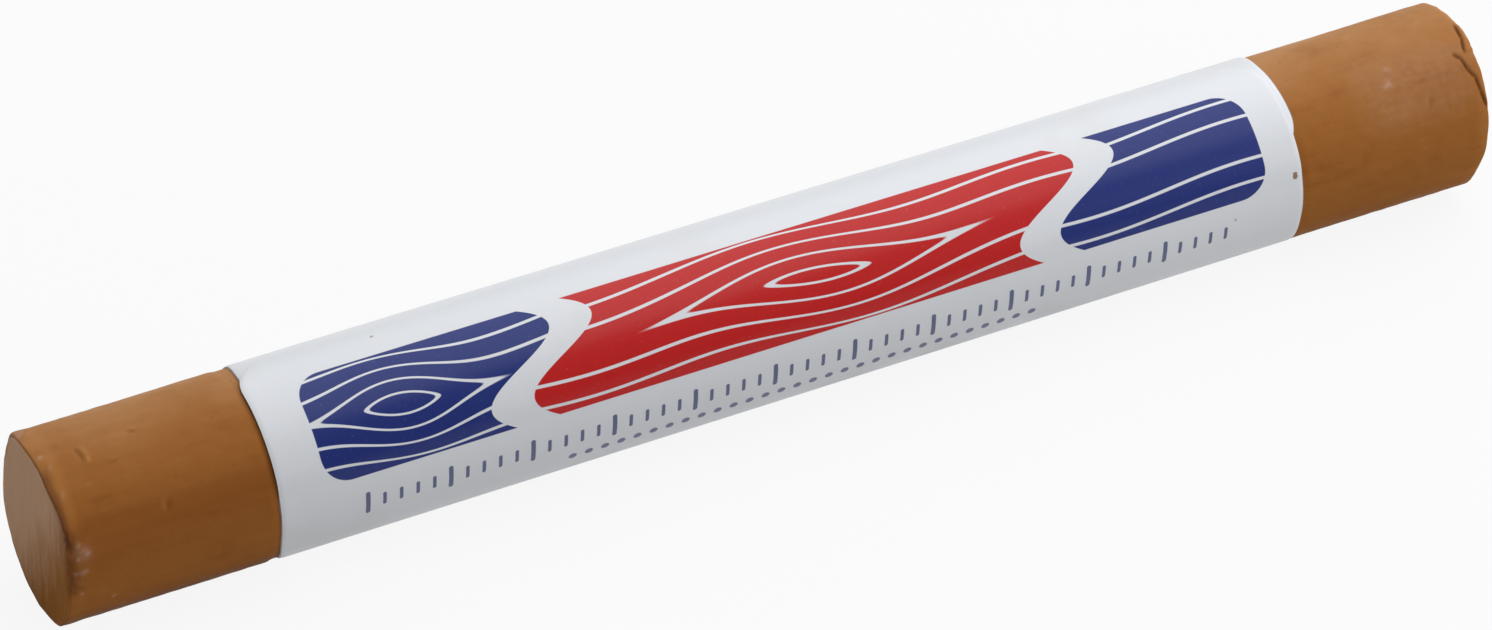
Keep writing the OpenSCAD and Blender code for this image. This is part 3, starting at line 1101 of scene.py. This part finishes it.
# Noise makes the specks ragged: it moves their edges by up to half of this either way
RAGGED = 0.12

fibres = wires.group(fine_grain, Place=place, Scale=3.5)
patches = wires.group(handling, Place=place, Scale=0.16)
warmth = wires.math("MULTIPLY_ADD", fibres, 0.35, wires.math("MULTIPLY", patches, 0.5))
cover = wires.ramp(fibres, 0.22, 0.42, to_low=0.90, to_high=1.0)
colour = wires.mix(warmth, PAPER, PAPER_WARM)
colour = wires.mix(wires.math("MULTIPLY", red, cover), colour, INK_RED)
colour = wires.mix(wires.math("MULTIPLY", blue, cover), colour, INK_BLUE)
colour = wires.mix(wires.math("MULTIPLY", marks, LINE_COVER), colour, INK_LINE)
jitter = wires.vector("SCALE", wires.add("TexNoise", Vector=flat, Scale=9.0, out="Color"), Scale=RAGGED)
ragged = wires.vector("ADD", flat, jitter)
for x, y, half_width, half_height, strength in SPECKS:
    speck = wires.group(
        rounded_patch,
        Flat=ragged,
        Middle=(x + RAGGED / 2, y + RAGGED / 2, 0),
        Half_Size=(half_width, half_height, 0),
        Corner=ROUNDNESS * min(half_width, half_height),
    )
    colour = wires.mix(wires.math("MULTIPLY", speck, strength), colour, SPECK)
print(len(SPECKS), "specks of wax")

# %% Printed paper: gloss, fibres and the shader
# Roughness where the paper is smooth, and what fibres, dull patches and ink add to it
PAPER_ROUGH, FIBRE_ROUGH, PATCH_ROUGH, INK_ROUGH = 0.29, 0.16, 0.08, -0.05
FIBRE_HEIGHT = 0.02

ink = wires.math("MAXIMUM", red, wires.math("MAXIMUM", blue, marks))
rough = wires.math("MULTIPLY_ADD", patches, PATCH_ROUGH, PAPER_ROUGH)
rough = wires.math("MULTIPLY_ADD", fibres, FIBRE_ROUGH, rough)
rough = wires.math("MULTIPLY_ADD", ink, INK_ROUGH, rough)
bump = wires.add("Bump", Height=fibres, Strength=0.25, Distance=FIBRE_HEIGHT * MM)
wires.fill(shader, Base_Color=colour, Roughness=rough, Normal=bump, Specular_IOR_Level=0.3)
paper_label.data.materials.append(printed_paper)
print("printed paper:", len(wires.tree.nodes), "nodes")

# %% Uncoated paper
PAPER_CORE = (0.900, 0.900, 0.900, 1)

bare_paper, wires, shader, place = new_material("bare_paper")
fibres = wires.group(fine_grain, Place=place, Scale=5.0)
colour = wires.mix(fibres, PAPER_CORE, PAPER)
rough = wires.math("MULTIPLY_ADD", fibres, 0.3, 0.55)
wires.fill(shader, Base_Color=colour, Roughness=rough)
paper_label.data.materials.append(bare_paper)

# %% [markdown]
# ## Adhesive
#
# The adhesive is clear and sticky. Only a hair of it shows, along the label's edges, and there it is
# dark: partly dust that it has gathered, partly painted shade at the label's edge. Clear glue could be
# made of glass, but a film this thin looks like the dirt and shade on it.

# %% Adhesive film
# Dark colours: partly dirt, partly painted shade along the label's edges
ADHESIVE_CLEAR = (0.300, 0.215, 0.215, 1)
ADHESIVE_DARK = (0.150, 0.100, 0.105, 1)

adhesive_material, wires, shader, place = new_material("label_adhesive_film")
darkening = wires.group(handling, Place=place, Scale=0.9)
grain = wires.group(fine_grain, Place=place, Scale=3.0)
colour = wires.mix(darkening, ADHESIVE_CLEAR, ADHESIVE_DARK)
rough = wires.math("MULTIPLY_ADD", grain, 0.3, 0.2)
wires.fill(shader, Base_Color=colour, Roughness=rough)
# The film's face and its back and rims are the same, so one material fills both places
adhesive_film.data.materials.append(adhesive_material)
adhesive_film.data.materials.append(adhesive_material)

# %% [markdown]
# ## Floor and light
#
# The photograph has a white ground and soft light from above. The floor is a pale sheet that bounces some
# light up and takes the stick's shadow. To look white it could be lit harder, but then the stick would be
# too bright. So Light Path asks what kind of ray has come, and rays from the camera, gloss or glass see
# mostly white.

# %% Floor
FLOOR_HALF = 3.0
FLOOR_GREYS = ((0.63, 0.63, 0.63, 1), (0.65, 0.65, 0.65, 1))
FLOOR_WHITE = 0.9

floor_mesh = bpy.data.meshes.new("floor")
floor_corners = np.array([(-1, -1, 0), (1, -1, 0), (1, 1, 0), (-1, 1, 0)]) * FLOOR_HALF
floor_mesh.from_pydata(floor_corners, [], [(0, 1, 2, 3)])
floor = bpy.data.objects.new("floor", floor_mesh)
bpy.context.scene.collection.objects.link(floor)
floor_material, wires, shader, place = new_material("pale_floor")
colour = wires.mix(wires.noise(place, scale=0.05), *FLOOR_GREYS)
wires.fill(shader, Base_Color=colour, Roughness=0.9, Specular_IOR_Level=0.0)
ray = wires.add("LightPath").node
seen = wires.math("MAXIMUM", ray.outputs["Is Camera Ray"], ray.outputs["Is Glossy Ray"])
seen = wires.math("MAXIMUM", seen, ray.outputs["Is Transmission Ray"])
white = wires.add("Emission", Strength=1.0)
lit_and_white = wires.add("MixShader", wires.math("MULTIPLY", seen, FLOOR_WHITE), shader.outputs[0], white)
wires.feed(wires.tree.nodes["Material Output"].inputs["Surface"], lit_and_white)
floor_mesh.materials.append(floor_material)

# %% [markdown]
# One wide softbox lies flat overhead, past the far end and towards the back, so the upper side of the
# stick is the bright one and the label shines along its top. A small card low in front of the far end,
# turned to the stick, lifts the side that faces the camera. A dim even world fills the shadows.

# %% Light
WORLD_COLOUR = (0.97, 0.98, 1.0, 1)
WORLD_STRENGTH = 0.33
# Name, place in metres, width and height, power in watts, and whether it is turned to the stick
LAMPS = (
    ("softbox", (0.36, 0.25, 0.36), (0.78, 0.90), 3.7, False),
    ("front_card", (0.26, -0.17, 0.13), (0.24, 0.18), 0.26, True),
)

world = bpy.data.worlds.new("world")
world.use_nodes = True
background = world.node_tree.nodes["Background"]
background.inputs["Color"].default_value = WORLD_COLOUR
background.inputs["Strength"].default_value = WORLD_STRENGTH
bpy.context.scene.world = world

for name, place, size, power, turned in LAMPS:
    lamp_data = bpy.data.lights.new(name, "AREA")
    lamp_data.shape = "RECTANGLE"
    lamp_data.size, lamp_data.size_y = size
    lamp_data.energy = power
    lamp = bpy.data.objects.new(name, lamp_data)
    lamp.location = place
    if turned:
        lamp.rotation_euler = (-lamp.location).to_track_quat("-Z", "Y").to_euler()
    bpy.context.scene.collection.objects.link(lamp)
    print(f"{name}: {power} W at {place}")

bpy.context.scene.view_settings.view_transform = "Standard"

# %% [markdown]
